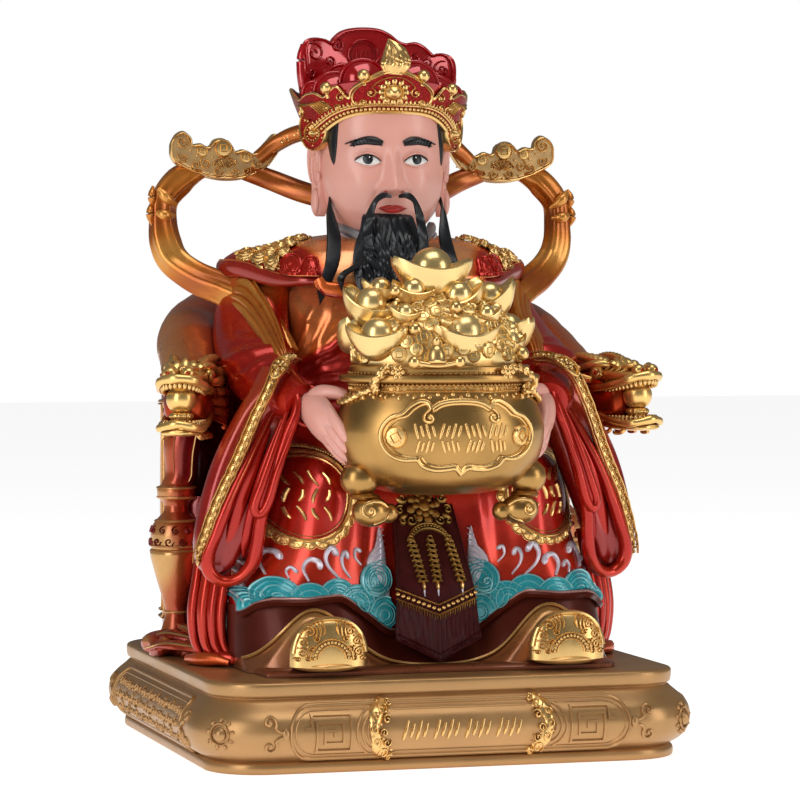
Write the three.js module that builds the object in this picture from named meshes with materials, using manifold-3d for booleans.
import * as THREE from "three";
import { mergeVertices } from "three/addons/utils/BufferGeometryUtils.js";
import Module from "manifold-3d";

const wasm = await Module();
wasm.setup();

// Driving sizes, in millimetres. X is the viewer's right, Y runs to the back, Z is up.
const overallHeight = 416;
const plinthHeight = 50.5;
const plinthHalfWidth = 147;
const plinthHalfDepth = 143;
const plinthCornerRadius = 42;
const throneHalfWidth = 137;
const throneRollRadius = 23;
const throneWall = 11;
const seatHeight = 92;
const seatFront = 36;
const bowlRadius = 60;
const bowlDepthRadius = 45;
const bowlHeight = 60;
const scarfThickness = 8.5;
const clearance = 0.3;

// The figure is drawn 365.5 high above the plinth and follows the height that is left for it.
const figureHeight = overallHeight - plinthHeight;
const share = figureHeight / 365.5;

// A vertex moved along its mean normal opens a face by less than the move, so the move is larger.
const cutGrowth = clearance * 1.8;

function at(x, y, z) {
  return new THREE.Vector3(x * share, y * share, plinthHeight + z * share);
}

function mix(a, b, t) {
  return a + (b - a) * t;
}

function smooth(a, b, value) {
  const t = Math.min(Math.max((value - a) / (b - a), 0), 1);
  return t * t * (3 - 2 * t);
}

// Reads a table of [position, value, value ...] rows at any position.
function sample(rows, position) {
  if (position <= rows[0][0]) return rows[0].slice(1);
  for (let i = 1; i < rows.length; i += 1) {
    if (position <= rows[i][0]) {
      const t = (position - rows[i - 1][0]) / (rows[i][0] - rows[i - 1][0]);
      return rows[i].slice(1).map((value, k) => mix(rows[i - 1][k + 1], value, t));
    }
  }
  return rows[rows.length - 1].slice(1);
}

// Turns a geometry into a closed body, facing out, optionally grown for a clearance cut.
function solid(geometry, grow = 0) {
  const plain = geometry.clone();
  plain.deleteAttribute("normal");
  plain.deleteAttribute("uv");
  const merged = mergeVertices(plain, 1e-4);
  const position = merged.getAttribute("position");
  const source = merged.index.array;
  const faces = [];
  let volume = 0;
  const a = new THREE.Vector3();
  const b = new THREE.Vector3();
  const c = new THREE.Vector3();
  for (let i = 0; i < source.length; i += 3) {
    const [p, q, r] = [source[i], source[i + 1], source[i + 2]];
    if (p === q || q === r || r === p) continue;
    faces.push(p, q, r);
    a.fromBufferAttribute(position, p);
    b.fromBufferAttribute(position, q);
    c.fromBufferAttribute(position, r);
    volume += a.dot(b.cross(c)) / 6;
  }
  if (volume < 0) {
    for (let i = 0; i < faces.length; i += 3) {
      [faces[i + 1], faces[i + 2]] = [faces[i + 2], faces[i + 1]];
    }
  }
  merged.setIndex(faces);
  if (grow > 0) {
    merged.computeVertexNormals();
    const normal = merged.getAttribute("normal");
    for (let i = 0; i < position.count; i += 1) {
      position.setXYZ(
        i,
        position.getX(i) + normal.getX(i) * grow,
        position.getY(i) + normal.getY(i) * grow,
        position.getZ(i) + normal.getZ(i) * grow,
      );
    }
  }
  return new wasm.Manifold(
    new wasm.Mesh({
      numProp: 3,
      vertProperties: new Float32Array(position.array),
      triVerts: new Uint32Array(faces),
    }),
  );
}

function joined(bodies) {
  return bodies.reduce((whole, body) => whole.add(body));
}

// Skins a row of rings, each an array of points, and closes both ends with fans.
function loft(rings) {
  const count = rings[0].length;
  const points = rings.flat();
  const index = [];
  for (let i = 0; i < rings.length - 1; i += 1) {
    for (let j = 0; j < count; j += 1) {
      const k = (j + 1) % count;
      const p = i * count + j;
      const q = i * count + k;
      index.push(p, q, q + count, p, q + count, p + count);
    }
  }
  for (const end of [0, rings.length - 1]) {
    const middle = new THREE.Vector3();
    rings[end].forEach((point) => middle.addScaledVector(point, 1 / count));
    const hub = points.length;
    points.push(middle);
    for (let j = 0; j < count; j += 1) {
      const p = end * count + j;
      const q = end * count + ((j + 1) % count);
      if (end === 0) index.push(q, p, hub);
      else index.push(p, q, hub);
    }
  }
  const geometry = new THREE.BufferGeometry();
  geometry.setAttribute(
    "position",
    new THREE.Float32BufferAttribute(points.flatMap((p) => [p.x, p.y, p.z]), 3),
  );
  geometry.setIndex(index);
  return geometry;
}

// A level ring of an oval, with the exponent of a superellipse and separate front and back depth.
function oval(centre, halfWidth, frontDepth, backDepth, sides, power = 2) {
  const ring = [];
  for (let i = 0; i < sides; i += 1) {
    const angle = (i / sides) * Math.PI * 2;
    const c = Math.cos(angle);
    const s = Math.sin(angle);
    const x = Math.sign(c) * Math.abs(c) ** (2 / power) * halfWidth;
    const depth = s < 0 ? frontDepth : backDepth;
    const y = Math.sign(s) * Math.abs(s) ** (2 / power) * depth;
    ring.push(new THREE.Vector3(centre.x + x, centre.y + y, centre.z));
  }
  return ring;
}

// Sweeps an oval along a smooth path. The widths table holds [share of path, across, along up].
function tube(path, sizes, sides, steps, upright = new THREE.Vector3(0, 0, 1)) {
  const curve = new THREE.CatmullRomCurve3(path, false, "centripetal");
  const rings = [];
  for (let i = 0; i <= steps; i += 1) {
    const t = i / steps;
    const point = curve.getPoint(t);
    const tangent = curve.getTangent(t).normalize();
    const across = new THREE.Vector3().crossVectors(tangent, upright).normalize();
    const up = new THREE.Vector3().crossVectors(across, tangent).normalize();
    const [wide, tall] = sample(sizes, t);
    const ring = [];
    for (let j = 0; j < sides; j += 1) {
      const angle = (j / sides) * Math.PI * 2;
      ring.push(
        point
          .clone()
          .addScaledVector(across, Math.cos(angle) * wide)
          .addScaledVector(up, Math.sin(angle) * tall),
      );
    }
    rings.push(ring);
  }
  return loft(rings);
}

function ball(centre, radii, around = 8, rings = 6, turn = null) {
  const geometry = new THREE.SphereGeometry(1, around, rings);
  geometry.rotateX(Math.PI / 2);
  geometry.scale(radii[0], radii[1], radii[2]);
  if (turn) geometry.applyMatrix4(new THREE.Matrix4().makeRotationFromEuler(turn));
  geometry.translate(centre.x, centre.y, centre.z);
  return geometry;
}

// A raised bar along a path drawn on a surface; place(u, v, lift) puts a point on that surface.
function bar(path, width, height, place, closed = false) {
  const rings = [];
  const last = path.length - 1;
  for (let i = 0; i <= last; i += 1) {
    const before = path[i === 0 ? (closed ? last : 0) : i - 1];
    const after = path[i === last ? (closed ? 0 : last) : i + 1];
    const du = after[0] - before[0];
    const dv = after[1] - before[1];
    const length = Math.hypot(du, dv);
    const nu = -dv / length;
    const nv = du / length;
    const [u, v] = path[i];
    rings.push(
      [
        [-0.5, -1],
        [0.5, -1],
        [0.3, height],
        [-0.3, height],
      ].map(([shift, lift]) => place(u + nu * shift * width, v + nv * shift * width, lift)),
    );
  }
  if (!closed) return loft(rings);
  const points = rings.flat();
  const index = [];
  for (let i = 0; i <= last; i += 1) {
    const next = i === last ? 0 : i + 1;
    for (let j = 0; j < 4; j += 1) {
      const k = (j + 1) % 4;
      index.push(i * 4 + j, i * 4 + k, next * 4 + k, i * 4 + j, next * 4 + k, next * 4 + j);
    }
  }
  const geometry = new THREE.BufferGeometry();
  geometry.setAttribute(
    "position",
    new THREE.Float32BufferAttribute(points.flatMap((p) => [p.x, p.y, p.z]), 3),
  );
  geometry.setIndex(index);
  return geometry;
}

// A raised boss with a free outline and a crown over its middle.
function boss(outline, height, crown, place, sink = 1) {
  const hub = [0, 0];
  outline.forEach(([u, v]) => {
    hub[0] += u / outline.length;
    hub[1] += v / outline.length;
  });
  const low = outline.map(([u, v]) => place(u, v, -sink));
  const high = outline.map(([u, v]) => place(mix(hub[0], u, 0.94), mix(hub[1], v, 0.94), height));
  const inner = outline.map(([u, v]) => place(mix(hub[0], u, 0.4), mix(hub[1], v, 0.4), crown));
  return loft([low, high, inner]);
}

function petalRing(u, v, radius, petals, dip) {
  const outline = [];
  for (let i = 0; i < petals * 2; i += 1) {
    const angle = (i / (petals * 2)) * Math.PI * 2;
    const r = i % 2 === 0 ? radius : radius * dip;
    outline.push([u + Math.cos(angle) * r, v + Math.sin(angle) * r]);
  }
  return outline;
}

function ringPath(u, v, radius, count, from = 0, to = Math.PI * 2) {
  const whole = to - from >= Math.PI * 2 - 1e-6;
  const path = [];
  for (let i = 0; i < count; i += 1) {
    const angle = from + ((to - from) * i) / (whole ? count : count - 1);
    path.push([u + Math.cos(angle) * radius, v + Math.sin(angle) * radius]);
  }
  return path;
}

// The plinth profile: share of the height, then how far the side stands in from the fullest line.
const plinthProfile = [
  [0, 10],
  [0.12, 10],
  [0.24, 4],
  [0.45, 0],
  [0.64, 2.5],
  [0.77, 11],
  [0.85, 12.5],
  [0.89, 11],
  [1, 11],
];

function plinthInset(z) {
  return sample(plinthProfile, z / plinthHeight)[0];
}

function plinthRing(inset, z) {
  const ring = [];
  const halfWidth = plinthHalfWidth - inset;
  const halfDepth = plinthHalfDepth - inset;
  const radius = plinthCornerRadius - inset;
  const corner = 3;
  const centres = [
    [halfWidth - radius, halfDepth - radius],
    [radius - halfWidth, halfDepth - radius],
    [radius - halfWidth, radius - halfDepth],
    [halfWidth - radius, radius - halfDepth],
  ];
  centres.forEach(([cx, cy], quarter) => {
    for (let i = 0; i <= corner; i += 1) {
      const angle = ((quarter + i / corner) * Math.PI) / 2;
      ring.push(
        new THREE.Vector3(cx + Math.cos(angle) * radius, cy + Math.sin(angle) * radius, z),
      );
    }
  });
  return ring;
}

// Points on the plinth's bulging sides; u runs along the side, v is the height.
const onFront = (u, v, lift) =>
  new THREE.Vector3(u, -(plinthHalfDepth - plinthInset(v)) - lift, v);
const onBack = (u, v, lift) =>
  new THREE.Vector3(-u, plinthHalfDepth - plinthInset(v) + lift, v);

function buildPlinth() {
  const middle = plinthHeight * 0.46;
  const reach = plinthHeight * 0.29;
  const bodies = [
    solid(loft(plinthProfile.map(([level, inset]) => plinthRing(inset, level * plinthHeight)))),
  ];
  const panel = (place, half) => {
    const frame = [];
    for (const side of [1, -1]) {
      for (const [du, dv] of [
        [-18, 1],
        [-6, 0.8],
        [0, 0],
        [-6, -0.8],
        [-18, -1],
      ]) {
        frame.push([side * (half + du), middle + side * dv * reach]);
      }
    }
    bodies.push(solid(bar(frame.reverse(), 2.2, 1.5, place, true)));
    for (const side of [-1, 1]) {
      const cloud = [
        [-7, 0.9],
        [3, 1.06],
        [8, 0],
        [3, -1.06],
        [-7, -0.9],
      ].map(([du, dv]) => [side * (half * 0.47 + du), middle + dv * reach]);
      bodies.push(solid(boss(cloud, 1.8, 2.8, place)));
    }
  };
  panel(onFront, plinthHalfWidth * 0.667);
  panel(onBack, plinthHalfWidth * 0.667);
  const swing = (plinthCornerRadius - plinthInset(middle)) * Math.SQRT1_2;
  for (const sx of [-1, 1]) {
    for (const sy of [-1, 1]) {
      const cornerX = sx * (plinthHalfWidth - plinthCornerRadius + swing);
      const cornerY = sy * (plinthHalfDepth - plinthCornerRadius + swing);
      const onCorner = (u, v, lift) =>
        new THREE.Vector3(
          cornerX + (-sy * u + sx * lift) * Math.SQRT1_2,
          cornerY + (sx * u + sy * lift) * Math.SQRT1_2,
          v,
        );
      bodies.push(solid(boss(ringPath(0, middle, 9, 7), 1.6, 3.6, onCorner, 3.5)));
    }
  }
  return joined(bodies);
}

// Front outline of the rolled top rail of the throne, from one arm end to the middle of the back.
const rollLine = [
  [118, -4, 157],
  [throneHalfWidth - throneRollRadius, 22, 171],
  [106, 62, 181],
  [78, 90, 190],
  [38, 100, 195],
  [0, 102, 196],
];
const rollSizes = [
  [0, 15, 17],
  [0.12, throneRollRadius, 24],
  [0.3, 21, 22],
  [0.5, 19, 21],
  [0.7, 21, 22],
  [0.88, throneRollRadius, 24],
  [1, 15, 17],
];

function throneRoll(grow) {
  const half = rollLine.map(([x, y, z]) => at(x, y, z));
  const other = half
    .slice(0, -1)
    .reverse()
    .map((p) => new THREE.Vector3(-p.x, p.y, p.z));
  return solid(tube([...half, ...other], rollSizes, 8, 14), grow);
}

// The plan of the curved wall, as [x, y] on its outer face, from the front edge round to the back.
const wallPlan = [
  [124, 40],
  [122, 66],
  [104, 92],
  [60, 108],
  [0, 112],
  [-60, 108],
  [-104, 92],
  [-122, 66],
  [-124, 40],
];

function throneShell() {
  const outer = wallPlan.map(([x, y]) => at(x, y, 0));
  const inner = wallPlan.map(([x, y]) => {
    const t = Math.min(Math.max((y - 40) / 52, 0), 1);
    return at(x - Math.sign(x) * throneWall, y - throneWall * t, 0);
  });
  const outline = [...outer, ...inner.reverse()];
  const shape = new THREE.Shape(outline.map((p) => new THREE.Vector2(p.x, p.y)));
  const wall = new THREE.ExtrudeGeometry(shape, { depth: 183 * share, bevelEnabled: false });
  wall.translate(0, 0, plinthHeight + clearance);
  const bodies = [solid(wall)];
  const seatShape = new THREE.Shape(
    [
      [118, 42],
      [116, 68],
      [100, 88],
      [58, 102],
      [-58, 102],
      [-100, 88],
      [-116, 68],
      [-118, 42],
      [-112, seatFront],
      [112, seatFront],
    ].map(([x, y]) => new THREE.Vector2(x * share, y * share)),
  );
  const seat = new THREE.ExtrudeGeometry(seatShape, {
    depth: seatHeight * share,
    bevelEnabled: false,
  });
  seat.translate(0, 0, plinthHeight + clearance);
  bodies.push(solid(seat));
  return bodies;
}

// Radius of the turned front leg against its height above the plinth.
const legProfile = [
  [0.3, 12],
  [8, 11],
  [22, 7.5],
  [45, 12.5],
  [58, 15.5],
  [70, 14.5],
  [82, 8],
  [90, 8],
  [93, 12],
  [99, 12],
  [104, 9.5],
  [165, 13],
];

function throneLeg(side) {
  const turned = new THREE.LatheGeometry(
    [
      new THREE.Vector2(0, legProfile[0][0]),
      ...legProfile.map(([z, r]) => new THREE.Vector2(r, z)),
      new THREE.Vector2(0, legProfile[legProfile.length - 1][0]),
    ],
    8,
  );
  turned.rotateX(Math.PI / 2);
  turned.scale(share, share, share);
  turned.translate(side * 119 * share, 42 * share, plinthHeight);
  return turned;
}

// A dragon's head at the end of an arm, turned outwards, with a ball between its jaws.
function dragonHead(side) {
  const start = at(side * 116, -2, 0);
  const turn = 0.42;
  const forward = new THREE.Vector3(side * Math.sin(turn), -Math.cos(turn), 0);
  const right = new THREE.Vector3(Math.cos(turn), side * Math.sin(turn), 0);
  const spot = (along, across, z) =>
    start
      .clone()
      .addScaledVector(forward, along * share)
      .addScaledVector(right, across * share)
      .setZ(plinthHeight + z * share);
  const block = (rows) =>
    solid(
      loft(
        rows.map(([along, wide, low, high, shoulder]) =>
          [
            [-wide * 0.8, low],
            [wide * 0.8, low],
            [wide, low + (high - low) * shoulder],
            [wide * 0.5, high],
            [-wide * 0.5, high],
            [-wide, low + (high - low) * shoulder],
          ].map(([u, z]) => spot(along, u, z)),
        ),
      ),
    );
  const bodies = [
    block([
      [-8, 13, 137, 176, 0.6],
      [20, 15, 134, 178, 0.65],
      [38, 11, 141, 174, 0.65],
    ]),
    block([
      [32, 13, 157, 176, 0.6],
      [50, 12, 161, 171, 0.6],
      [61, 9.5, 162, 170, 0.6],
    ]),
    block([
      [30, 11, 133, 145, 0.7],
      [52, 12, 129, 137, 0.7],
      [61, 9, 131, 136, 0.7],
    ]),
  ];
  const pearl = spot(50, 0, 149.5);
  const small = share;
  bodies.push(solid(ball(pearl, [9.5 * small, 9.5 * small, 13.5 * small], 6, 4)));
  for (const wing of [-1, 1]) {
    bodies.push(
      solid(
        tube(
          [spot(40, wing * 8, 173), spot(24, wing * 12, 180), spot(6, wing * 14, 180)],
          [[0, 5 * small, 5 * small], [1, 1.4 * small, 1.4 * small]],
          4,
          2,
        ),
      ),
      solid(
        tube(
          [spot(34, wing * 11, 152), spot(22, wing * 15.5, 156), spot(8, wing * 15.5, 152)],
          [[0, 3 * small, 4 * small], [1, 1.6 * small, 3 * small]],
          4,
          2,
        ),
      ),
    );
  }
  return joined(bodies);
}

// Folds of the fallen scarf end that lie on the plinth beside each leg.
function scarfPool(side) {
  const bodies = [];
  for (const [x, y, wide, deep, tall, turn] of [
    [126, 34, 10, 15, 21, 0.2],
    [116, 16, 14, 11, 14, -0.3],
    [104, 2, 12, 10, 13, 0.3],
  ]) {
    bodies.push(
      solid(
        ball(
          at(side * x, y, 4.6),
          [wide * share, deep * share, tall * share],
          6,
          4,
          new THREE.Euler(0, 0, side * turn),
        ),
      ),
    );
  }
  const floor = new THREE.BoxGeometry(plinthHalfWidth * 2, plinthHalfDepth * 2, plinthHeight);
  floor.translate(0, 0, plinthHeight / 2 + clearance);
  return joined(bodies).subtract(solid(floor));
}

function buildThrone(figureCut, scarfCut) {
  const bodies = [throneRoll(0), ...throneShell()];
  for (const side of [-1, 1]) {
    bodies.push(solid(throneLeg(side)), dragonHead(side), scarfPool(side));
  }
  const onWall = (u, v, lift) => at(u, 112 + lift - (u / 60) ** 2 * 4, v);
  bodies.push(
    solid(bar(ringPath(0, 98, 34, 10), 4, 2.2, onWall, true)),
    solid(boss(petalRing(0, 98, 21, 6, 0.8), 2.4, 4.2, onWall, 2)),
  );
  return joined(bodies).subtract(figureCut).subtract(scarfCut);
}

// Profile of the bowl: share of its radius, share of its height from foot to lid.
const bowlProfile = [
  [0.4, 0],
  [0.76, 0.09],
  [0.96, 0.3],
  [1, 0.5],
  [0.88, 0.78],
  [0.86, 0.83],
  [0.95, 0.87],
  [0.95, 0.92],
  [0.85, 0.94],
  [0.87, 1],
];
const bowlX = 0;
const bowlY = -99;
const bowlZ = 100;

function bowlPoint(angle, level, lift = 0) {
  const reach = sample(
    bowlProfile.map(([r, h]) => [h, r]),
    level,
  )[0];
  return new THREE.Vector3(
    bowlX + Math.sin(angle) * (bowlRadius * reach + lift),
    bowlY * share - Math.cos(angle) * (bowlDepthRadius * reach + lift),
    plinthHeight + bowlZ * share + level * bowlHeight * 1.2,
  );
}

function bowlBody(grow) {
  const rings = bowlProfile.map(([, level]) => {
    const ring = [];
    for (let i = 0; i < 16; i += 1) ring.push(bowlPoint((i / 16) * Math.PI * 2, level));
    return ring;
  });
  return solid(loft(rings), grow);
}

// A boat-shaped ingot with a round crown, lying along `heading` and tipped by `tip`.
function ingot(centre, length, heading, tip, grow) {
  const rings = [];
  const half = length / 2;
  for (let i = 0; i <= 4; i += 1) {
    const s = i / 2 - 1;
    const wide = length * (0.06 + 0.22 * Math.sqrt(Math.max(1 - s * s, 0)));
    const rim = length * (0.06 + 0.2 * s * s);
    const keel = -length * (0.26 - 0.3 * s * s);
    rings.push([
      new THREE.Vector3(s * half * 0.84, -wide * 0.5, keel),
      new THREE.Vector3(s * half * 0.84, wide * 0.5, keel),
      new THREE.Vector3(s * half, wide, rim),
      new THREE.Vector3(s * half, -wide, rim),
    ]);
  }
  const hull = loft(rings);
  const crown = ball(new THREE.Vector3(0, 0, length * 0.05), [
    length * 0.24,
    length * 0.2,
    length * 0.22,
  ], 6, 4);
  const place = new THREE.Matrix4()
    .makeTranslation(centre.x, centre.y, centre.z)
    .multiply(new THREE.Matrix4().makeRotationZ(heading))
    .multiply(new THREE.Matrix4().makeRotationY(tip));
  hull.applyMatrix4(place);
  crown.applyMatrix4(place);
  return solid(hull, grow).add(solid(crown, grow));
}

function bowlParts(grow) {
  const grown = bowlRadius / 60;
  const spot = (x, y, z) =>
    new THREE.Vector3(
      x * grown,
      bowlY * share + (y - bowlY) * grown,
      plinthHeight + bowlZ * share + bowlHeight * 1.2 + (z - 172) * grown,
    );
  const bodies = [bowlBody(grow)];
  bodies.push(solid(ball(spot(-1, -96, 180), [45 * grown, 33 * grown, 32 * grown], 8, 5), grow));
  for (const [x, y, z, length, heading, tip] of [
    [-2, -98, 222, 46, 0.05, 0.02],
    [-28, -112, 186, 46, -0.35, 0.12],
    [27, -114, 184, 50, 0.3, -0.08],
    [-39, -98, 200, 36, -0.9, 0.4],
    [16, -112, 205, 34, 0.5, -0.35],
    [-2, -74, 198, 44, 0.1, 0.05],
  ]) {
    bodies.push(ingot(spot(x, y, z), length * grown, heading, tip, grow));
  }
  for (const side of [-1, 1]) {
    const leg = [
      spot(side * 42, -102, 122),
      spot(side * 49, -106, 108),
      spot(side * 45, -110, 95),
      spot(side * 33, -111, 90),
    ];
    const sizes = [
      [0, 7, 7],
      [0.3, 11, 10.5],
      [0.62, 7, 7],
      [0.85, 8.5, 9],
      [1, 6, 7],
    ].map(([t, a, b]) => [t, a * grown, b * grown]);
    bodies.push(
      solid(tube(leg, sizes, 7, 5, new THREE.Vector3(0, 1, 0)), grow),
      solid(ball(spot(-14 + side * 13, -139, 174), [4 * grown, 3.4 * grown, 4 * grown], 5, 4)),
    );
  }
  bodies.push(
    solid(ball(spot(-14, -138, 178), [6 * grown, 5 * grown, 8 * grown], 6, 4)),
    solid(tube([spot(-26, -138, 173), spot(-2, -140, 173)], [[0, 2.4, 2], [1, 2.4, 2]], 6, 2)),
  );
  const onBowl = (u, v, lift) => bowlPoint(u / 48, 0.47 + v / 62, lift * 1.3);
  const scallop = [
    [0, -18],
    [20, -14],
    [37, -8],
    [42, 0],
    [38, 8],
    [27, 14.5],
    [14, 13],
    [0, 15.5],
  ];
  const frame = [
    ...scallop,
    ...scallop
      .slice(1, -1)
      .reverse()
      .map(([u, v]) => [-u, v]),
  ];
  bodies.push(solid(bar(frame, 2.6, 1.6, onBowl, true)));
  return bodies;
}

// One side's gilt wing and scarf loop; side is -1 for the viewer's left.
const wingOutline = [
  [-118, 290],
  [-119.5, 298],
  [-117, 305],
  [-112, 308],
  [-107.5, 305],
  [-106.5, 300.5],
  [-101, 300.8],
  [-96.5, 299],
  [-93, 303],
  [-88, 304],
  [-83.5, 301.5],
  [-80.5, 296.5],
  [-75, 297.5],
  [-68.5, 295],
  [-62, 301.5],
  [-56, 307],
  [-51, 302],
  [-57, 291],
  [-63, 285],
  [-70, 281.5],
  [-78, 279],
  [-88, 278.6],
  [-97, 280],
  [-105, 282.6],
  [-112, 285.6],
];
const scarfLine = [
  [-101, 57, 284],
  [-113, 58, 279],
  [-122, 58, 268],
  [-123.5, 57, 254],
  [-119, 53, 241],
  [-107, 43, 229],
  [-94, 24, 219],
  [-84, 6, 207],
  [-76, -10, 192],
  [-69, -22, 174],
];

function scarfParts(side, grow) {
  const width = scarfThickness;
  const path = scarfLine.map(([x, y, z]) => at(side * -x, y, z));
  const bodies = [
    solid(
      tube(
        path,
        [
          [0, 6, 5],
          [0.12, width * 0.95, 6.5],
          [0.3, width * 1.05, 7],
          [0.5, width, 6.5],
          [0.62, width * 0.8, 6],
          [0.8, width, 6],
          [1, width * 0.9, 5],
        ].map(([t, a, b]) => [t, b * share, a * share]),
        7,
        14,
        new THREE.Vector3(side, 0.2, 0.9).normalize(),
      ),
      grow,
    ),
    solid(
      tube(
        [
          at(side * 74, 56, 285),
          at(side * 58, 52, 279),
          at(side * 42, 42, 272),
          at(side * 22, 24, 265),
        ],
        [[0, 3.5, 6], [0.5, 3.5, 6.5], [1, 3.5, 6]].map(([t, a, b]) => [t, a * share, b * share]),
        5,
        3,
      ),
      grow,
    ),
    solid(
      tube(
        [
          at(side * 66, 55, 292),
          at(side * 55, 53, 301),
          at(side * 43, 42, 307),
          at(side * 24, 26, 309),
        ],
        [[0, 3.5, 6], [1, 3.5, 5.5]].map(([t, a, b]) => [t, a * share, b * share]),
        5,
        3,
      ),
      grow,
    ),
  ];
  const outline = wingOutline.map(([x, z]) => [side * -x * share, plinthHeight + z * share]);
  const layer = (y, pull) => {
    const middle = [side * 88 * share, plinthHeight + 291 * share];
    return outline.map(
      ([x, z]) => new THREE.Vector3(mix(middle[0], x, pull), y * share, mix(middle[1], z, pull)),
    );
  };
  bodies.push(solid(wingPlate(layer(51, 0.97), layer(61, 1)), grow));
  return bodies;
}

// A plate between two outlines that need not be convex; its faces come from a flat triangulation.
function wingPlate(front, back) {
  const count = front.length;
  const faces = THREE.ShapeUtils.triangulateShape(
    front.map((p) => new THREE.Vector2(p.x, p.z)),
    [],
  );
  const flip = THREE.ShapeUtils.area(front.map((p) => new THREE.Vector2(p.x, p.z))) < 0;
  const index = [];
  for (const [a, b, c] of faces) {
    index.push(a, b, c);
    index.push(count + a, count + c, count + b);
  }
  for (let i = 0; i < count; i += 1) {
    const k = (i + 1) % count;
    if (flip) index.push(i, k, count + k, i, count + k, count + i);
    else index.push(i, count + k, k, i, count + i, count + k);
  }
  const geometry = new THREE.BufferGeometry();
  geometry.setAttribute(
    "position",
    new THREE.Float32BufferAttribute([...front, ...back].flatMap((p) => [p.x, p.y, p.z]), 3),
  );
  geometry.setIndex(index);
  return geometry;
}

function buildScarf(side) {
  const bodies = scarfParts(side, 0);
  const onWing = (u, v, lift) => at(side * (88 + u), 51 - lift, 291 + v);
  for (const [u, v, radius] of [
    [0, 5, 6.5],
    [24, 10, 4.5],
  ]) {
    bodies.push(solid(boss(ringPath(u, v, radius, 6), 1.6, 0.6, onWing, 1.5)));
  }
  for (const path of [
    [[-20, -5], [-2, -9], [14, -8], [26, -2]],
  ]) {
    bodies.push(solid(bar(path, 2.2, 1.5, onWing)));
  }
  return joined(bodies);
}

// The robe over the knees: height, half width, reach at the knees, reach in the middle, squareness.
const robeRows = [
  [4, 104, 100, 99, 6],
  [28, 99, 84, 82, 5],
  [33, 104, 84, 80, 6],
  [36, 110, 91, 83, 7],
  [46, 106, 90, 76, 6],
  [72, 100, 89, 67, 4.2],
  [98, 98, 90, 62, 3.6],
  [116, 94, 84, 55, 3.2],
  [127, 85, 68, 46, 3],
  [134, 68, 44, 34, 2.6],
];

function robeFront(x, z) {
  const [half, knee, middle, power] = sample(robeRows, z);
  const t = Math.min(Math.abs(x) / half, 1);
  const reach = middle + (knee - middle) * Math.exp(-(((t - 0.66) / 0.3) ** 2));
  return -reach * (1 - t ** power) ** (1 / power);
}

function robeBody(grow) {
  const rings = [];
  const levels = robeRows.map(([z]) => z).filter((z) => z < seatHeight);
  levels.push(seatHeight + 1.4, seatHeight + 1.5, 116, 127, 134);
  levels.forEach((z, row) => {
    const [half] = sample(robeRows, z);
    const ring = [];
    for (let i = 0; i <= 12; i += 1) {
      const x = half * Math.sin(((i / 12 - 0.5) * Math.PI) / 1.0001);
      ring.push(at(x, robeFront(x, z), z));
    }
    const back = z < seatHeight + 1.45 ? seatFront - 4 : 66;
    ring.push(at(half * 0.85, back, z), at(-half * 0.85, back, z));
    rings.push(ring);
  });
  return solid(loft(rings), grow);
}

function stack(rows, centreY, sides, power, grow) {
  return solid(
    loft(
      rows.map(([z, half, front, back]) =>
        oval(at(0, centreY, z), half * share, front * share, back * share, sides, power),
      ),
    ),
    grow,
  );
}

function figureCore(grow) {
  const bodies = [
    robeBody(grow),
    stack(
      [
        [118, 64, 38, 46],
        [140, 67, 46, 50],
        [196, 66, 44, 48],
        [216, 58, 36, 42],
        [240, 25, 24, 24],
        [254, 22, 21, 21],
      ],
      22,
      10,
      2.2,
      grow,
    ),
    stack(
      [
        [246, 28, 25, 26],
        [238, 50, 36, 36],
        [228, 84, 46, 45],
        [223, 95, 49, 47],
        [218, 93, 47, 45],
      ],
      22,
      12,
      2.4,
      grow,
    ),
  ];
  for (const side of [-1, 1]) {
    const arm = [
      at(side * 72, 26, 214),
      at(side * 77, 12, 196),
      at(side * 79, -8, 177),
      at(side * 81, -34, 162),
      at(side * 77, -60, 153),
      at(side * 72, -74, 149),
    ];
    const sleeve = [
      at(side * 82, -56, 162),
      at(side * 92, -59, 136),
      at(side * 106, -59, 104),
      at(side * 115.5, -57, 74),
      at(side * 119, -54, 55),
      at(side * 119, -51, 44),
    ];
    bodies.push(
      solid(
        tube(
          arm,
          [
            [0, 21, 21],
            [0.25, 23, 23],
            [0.5, 22, 21],
            [0.75, 18, 18],
            [0.92, 14, 16],
            [1, 12, 13],
          ].map(([t, a, b]) => [t, a * share, b * share]),
          7,
          5,
        ),
        grow,
      ),
      solid(
        tube(
          sleeve,
          [
            [0, 12, 11],
            [0.25, 17, 14],
            [0.5, 18, 15],
            [0.75, 16, 15],
            [0.9, 12, 13],
            [1, 6, 6],
          ].map(([t, a, b]) => [t, a * share, b * share]),
          7,
          6,
          new THREE.Vector3(side, 0, 0),
        ),
        grow,
      ),
    );
  }
  return joined(bodies);
}

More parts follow.
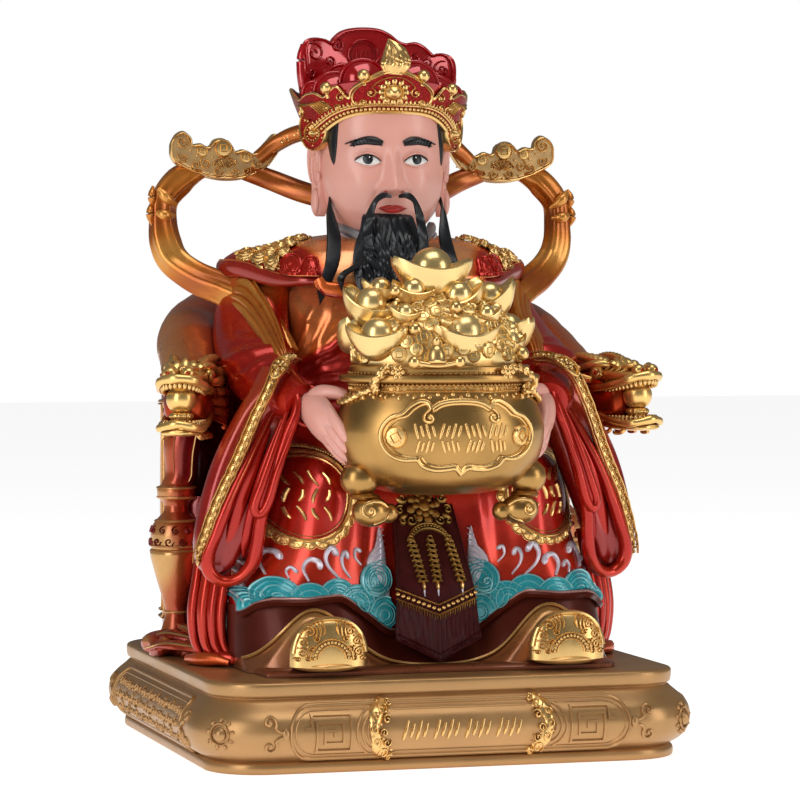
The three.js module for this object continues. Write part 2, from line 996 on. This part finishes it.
function headParts() {
  const bodies = [
    stack(
      [
        [243, 11, 15, 18],
        [249, 22, 26, 26],
        [261, 32, 32, 31],
        [282, 36, 35, 34],
        [306, 35, 34, 34],
        [320, 32, 32, 32],
      ],
      9,
      12,
      2.15,
      0,
    ),
    solid(
      tube(
        [at(0, -20, 297), at(0, -26, 287), at(0, -30.5, 278), at(0, -25, 274)],
        [[0, 3, 2], [0.4, 3.4, 3], [0.8, 6, 5], [1, 5, 3]].map(([t, a, b]) => [
          t,
          a * share,
          b * share,
        ]),
        5,
        3,
        new THREE.Vector3(0, -1, 0),
      ),
    ),
    solid(ball(at(0, -23.5, 264), [10 * share, 4.5 * share, 3.6 * share], 6, 4)),
  ];
  for (const side of [-1, 1]) {
    const ear = [at(side * 35, 13, 300), at(side * 38, 13, 288), at(side * 38.5, 12, 272)];
    ear.push(at(side * 37, 11, 262));
    bodies.push(
      solid(
        tube(
          [at(side * 6, -26, 295), at(side * 14, -25, 298), at(side * 23, -19, 294.5)],
          [[0, 1.8, 2.2], [0.5, 1.8, 2.6], [1, 1, 1]],
          4,
          2,
        ),
      ),
      solid(
        tube(
          ear,
          [[0, 7, 3], [0.4, 6, 3.5], [0.8, 6.5, 5], [1, 4, 3.5]],
          6,
          4,
          new THREE.Vector3(side, 0, 0),
        ),
      ),
    );
  }
  return bodies;
}

function hairParts() {
  const bodies = [];
  const beard = [
    [258, 12, -14, 5],
    [248, 20, -20, 8],
    [232, 23, -28, 8],
    [214, 20, -34, 7],
    [202, 9, -36, 4],
  ].map(([z, half, y, deep]) => {
    const ring = [];
    for (let i = 0; i <= 6; i += 1) {
      const t = i / 3 - 1;
      const ridge = i % 2 === 0 ? 0 : 2;
      ring.push(at(-3 + t * half, y - deep * Math.sqrt(1 - 0.75 * t * t) - ridge, z));
    }
    ring.push(at(-3 + half * 0.7, y + deep, z), at(-3 - half * 0.7, y + deep, z));
    return ring;
  });
  bodies.push(solid(loft(beard)));
  for (const side of [-1, 1]) {
    bodies.push(
      solid(
        tube(
          [
            at(side * 33, -3, 266),
            at(side * 33, -12, 250),
            at(side * 34, -20, 232),
            at(side * 38, -25, 216),
            at(side * 44, -26, 203),
          ],
          [[0, 3, 4], [0.4, 5, 4], [0.8, 4, 3], [1, 1.2, 1]],
          4,
          4,
          new THREE.Vector3(0, 1, 0),
        ),
      ),
      solid(
        tube(
          [
            at(side * 4, -30, 270.5),
            at(side * 12, -29.5, 268),
            at(side * 17, -27, 256),
            at(side * 18, -31, 242),
            at(side * 16, -38, 228),
          ],
          [[0, 1.6, 1.6], [0.3, 2.6, 2.6], [0.8, 2.2, 2.2], [1, 1, 1]],
          4,
          4,
          new THREE.Vector3(0, 1, 0),
        ),
      ),
    );
  }
  return bodies;
}

const hatPanel = [
  [-49, 316],
  [-50, 340],
  [-47, 355],
  [-39, 358.5],
  [-31, 355],
  [-24, 359.5],
  [-12, 364],
  [0, 365.5],
  [12, 364],
  [24, 359.5],
  [31, 355],
  [39, 358.5],
  [47, 355],
  [50, 340],
  [49, 316],
];

function hatParts() {
  const ring = (half, front, back, low, rise) =>
    oval(at(0, 12, 0), half * share, front * share, back * share, 12, 2.1).map((p) => {
      const forward = smooth(0.1, 1, -(p.y / share - 12) / front);
      p.z = plinthHeight + (low + rise * forward) * share;
      return p;
    });
  const bodies = [
    solid(
      loft([
        ring(39.5, 34.5, 37, 300, 17),
        ring(46, 39, 40, 315, 12),
        ring(51.5, 43, 42, 329, 11),
        ring(47, 39, 39, 330, 8),
        ring(30, 26, 30, 338, 4),
      ]),
    ),
    solid(ball(at(0, 14, 334), [41 * share, 33 * share, 19 * share], 9, 5)),
    solid(ball(at(0, -6, 340), [15 * share, 14 * share, 16 * share], 7, 4)),
    solid(
      tube(
        [at(0, -29, 338), at(1, -28, 347), at(-1.5, -26, 358)],
        [[0, 4, 3], [0.4, 6.5, 4], [1, 0.8, 0.8]],
        5,
        3,
        new THREE.Vector3(0, 1, 0),
      ),
    ),
  ];
  for (const side of [-1, 1]) {
    bodies.push(
      solid(ball(at(side * 22, -2, 337), [17 * share, 15 * share, 15 * share], 7, 4)),
      solid(ball(at(side * 42, 6, 309), [6 * share, 10 * share, 11 * share], 6, 4)),
    );
  }
  const layer = (shift) =>
    hatPanel.map(([x, z]) => at(x, 40 + shift - 20 * (x / 50) ** 2, z));
  bodies.push(solid(wingPlate(layer(-6), layer(5))));
  return bodies;
}

// Each hand is one mitten with four finger ridges, wrapped under the side of the bowl.
function handParts() {
  const wide = bowlRadius / share - 60;
  return [-1, 1].map((side) => {
    const rings = [
      [73, -70, 150, 8, 13, 0],
      [74, -82, 147, 9, 15, 0.4],
      [73, -93, 140, 8, 16, 1.4],
      [69, -101, 130, 7, 15, 2.2],
      [62, -105, 120, 5.5, 13, 2],
      [55, -106, 114, 3, 10, 1],
    ].map(([x, y, z, thick, half, ridge], row) => {
      const outward = 0.25 + row * 0.22;
      const ring = [];
      for (let i = 0; i <= 8; i += 1) {
        const t = 1 - i / 4;
        const bulge = thick * Math.sqrt(1 - 0.6 * t * t) + (i % 2 === 0 ? 0 : ridge);
        ring.push(
          at(
            side * (x + wide + bulge * Math.cos(outward)),
            y - t * half * 0.62,
            z + t * half * 0.75 - bulge * Math.sin(outward) * 0.6,
          ),
        );
      }
      ring.push(at(side * (x + wide - thick), y + half * 0.5, z - half * 0.6));
      ring.push(at(side * (x + wide - thick), y - half * 0.5, z + half * 0.6));
      return ring;
    });
    return solid(loft(rings));
  });
}

const onRobe = (u, v, lift) => at(u, robeFront(u, v) - lift, v);

// A medallion in one skin: lotus edge, raised ring and a sunk field, laid on a surface.
function medallion(place) {
  const rings = [
    [27.5, -1.5, 0.88],
    [26, 1.4, 0.9],
    [21, 2.6, 1],
    [18.5, 0.8, 1],
  ].map(([radius, lift, dip]) => {
    const ring = [];
    for (let i = 0; i < 12; i += 1) {
      const angle = (i / 12) * Math.PI * 2;
      const r = i % 2 === 0 ? radius : radius * dip;
      ring.push(place(Math.cos(angle) * r, Math.sin(angle) * r, lift));
    }
    return ring;
  });
  return solid(loft(rings));
}

// The wave border of one knee: a plate on the robe with a row of round crests.
function waveBand(side) {
  const crests = [
    [-44, 56],
    [-38, 66],
    [-30, 51],
    [-16, 59],
    [-4, 50],
    [10, 58],
    [22, 50],
    [33, 54],
  ];
  const edge = [
    [34, 37],
    [-6, 36.5],
    [-46, 36.5],
  ];
  const outline = [...crests, ...edge];
  const layer = (lift) => outline.map(([u, v]) => onRobe(side * (71 + u), v, lift));
  return solid(wingPlate(layer(1.8), layer(-3)));
}

function robeRelief() {
  const bodies = [];
  for (const side of [-1, 1]) {
    bodies.push(
      medallion((u, v, lift) => onRobe(side * 71 + u, 98 + v, lift)),
      waveBand(side),
      solid(
        tube(
          [at(side * 83, -70, 146), at(side * 89, -76, 118), at(side * 92, -75, 98)],
          [[0, 4, 4], [0.5, 7, 6], [1, 4, 4]].map(([t, a, b]) => [t, a * share, b * share]),
          5,
          3,
          new THREE.Vector3(side, 0, 0),
        ),
      ),
      solid(
        boss(
          [[-20, -4], [-6, 6], [18, 4], [22, -3], [-6, -8]],
          2,
          3,
          (u, v, lift) => at(side * (64 + u), 4 + v, 234.5 - u * 0.34 + lift),
          5,
        ),
      ),
      solid(ball(at(side * 56, -24, 225), [13 * share, 5 * share, 8 * share], 6, 4)),
    );
    const shoe = [
      [-66, 17, 20],
      [-98, 20, 30],
      [-113, 22, 34],
      [-121, 20, 28],
      [-125, 14, 17],
    ].map(([y, half, high]) => {
      const ring = [at(side * 71.5 + half, y, 3.5), at(side * 71.5 - half, y, 3.5)];
      for (let i = 0; i <= 4; i += 1) {
        const angle = Math.PI - (i / 4) * Math.PI;
        const reach = Math.cos(angle) * half;
        ring.push(at(side * 71.5 + reach, y, 9 + Math.sin(angle) * (high - 9)));
      }
      return ring;
    });
    bodies.push(solid(loft(shoe)));
  }
  const apron = [
    [102, 17, -58],
    [70, 20, -80],
    [43, 23, -94.5],
    [18, 25, -99],
    [5, 5, -99.5],
  ].map(([z, half, y]) => [
    at(-half, y, z),
    at(half, y, z),
    at(half, y + 16, z),
    at(-half, y + 16, z),
  ]);
  const onApron = (u, v, lift) =>
    at(u, sample([[5, -99.5], [18, -99], [43, -94.5], [70, -80], [102, -58]], v)[0] - lift, v);
  bodies.push(
    solid(loft(apron)),
    solid(bar([[-23, 43], [0, 34], [23, 43]], 5, 1.8, onApron)),
    solid(boss(petalRing(0, 90, 13, 4, 0.75), 1.8, 3, onApron)),
  );
  for (const u of [-11, 0, 11]) {
    bodies.push(solid(bar([[u, 74], [u, 50]], 5, 2.4, onApron)));
  }
  bodies.push(solid(footMat()));
  return bodies;
}

// The thin mat under the shoes and the robe.
function footMat() {
  const matShape = new THREE.Shape();
  matShape.moveTo(-102 * share, 30 * share);
  matShape.lineTo(-104 * share, -96 * share);
  matShape.lineTo(-94 * share, -118 * share);
  matShape.lineTo(-72 * share, -126 * share);
  matShape.lineTo(72 * share, -126 * share);
  matShape.lineTo(94 * share, -118 * share);
  matShape.lineTo(104 * share, -96 * share);
  matShape.lineTo(102 * share, 30 * share);
  matShape.closePath();
  const mat = new THREE.ExtrudeGeometry(matShape, { depth: 4.4, bevelEnabled: false });
  mat.translate(0, 0, plinthHeight + clearance);
  return mat;
}

function sleeveHollows() {
  const bodies = [];
  for (const side of [-1, 1]) {
    bodies.push(
      solid(
        tube(
          [
            at(side * 86, -74, 140),
            at(side * 98, -75, 116),
            at(side * 109, -73, 90),
            at(side * 115, -70, 66),
            at(side * 116, -67, 56),
          ],
          [[0, 3, 3], [0.3, 7, 7], [0.7, 8, 8], [1, 5, 5]].map(([t, a, b]) => [
            t,
            a * share,
            b * share,
          ]),
          6,
          4,
          new THREE.Vector3(side, 0, 0),
        ),
      ),
    );
  }
  return joined(bodies);
}

function buildFigure(scarfCut) {
  const core = figureCore(0).subtract(sleeveHollows());
  const rest = [headParts(), hairParts(), hatParts(), handParts(), robeRelief()].flat();
  return joined([core, ...rest]).subtract(joined(bowlParts(cutGrowth))).subtract(scarfCut);
}

const looks = {
  plinth: [0xc09050, 0.35, 0.9],
  throne: [0x8a1a10, 0.3, 0.2],
  figure: [0xb01a14, 0.28, 0.15],
  treasure_bowl: [0xc8a050, 0.3, 0.95],
  scarf_left: [0xcd7d28, 0.3, 0.5],
  scarf_right: [0xcd7d28, 0.3, 0.5],
};

// Joining can leave a closed hollow or a loose sliver inside; the outer shell is the piece.
function outerShell(body) {
  return body.decompose().reduce((best, shell) => (shell.volume() > best.volume() ? shell : best));
}

function node(name, body) {
  const mesh = outerShell(body).getMesh();
  const geometry = new THREE.BufferGeometry();
  geometry.setAttribute("position", new THREE.Float32BufferAttribute(mesh.vertProperties, 3));
  geometry.setIndex(Array.from(mesh.triVerts));
  geometry.computeVertexNormals();
  const [colour, roughness, metalness] = looks[name];
  const material = new THREE.MeshStandardMaterial({ color: colour, roughness, metalness });
  material.name = name;
  const result = new THREE.Mesh(geometry, material);
  result.name = name;
  return result;
}

const scarfCut = joined([...scarfParts(-1, cutGrowth), ...scarfParts(1, cutGrowth)]);
const figureCut = figureCore(cutGrowth).add(solid(footMat(), cutGrowth));

const group = new THREE.Group();
group.name = "caishen_figure";
group.add(node("plinth", buildPlinth()));
group.add(node("throne", buildThrone(figureCut, scarfCut)));
group.add(node("figure", buildFigure(scarfCut)));
group.add(node("treasure_bowl", joined(bowlParts(0))));
group.add(node("scarf_left", buildScarf(-1)));
group.add(node("scarf_right", buildScarf(1)));

export default group;
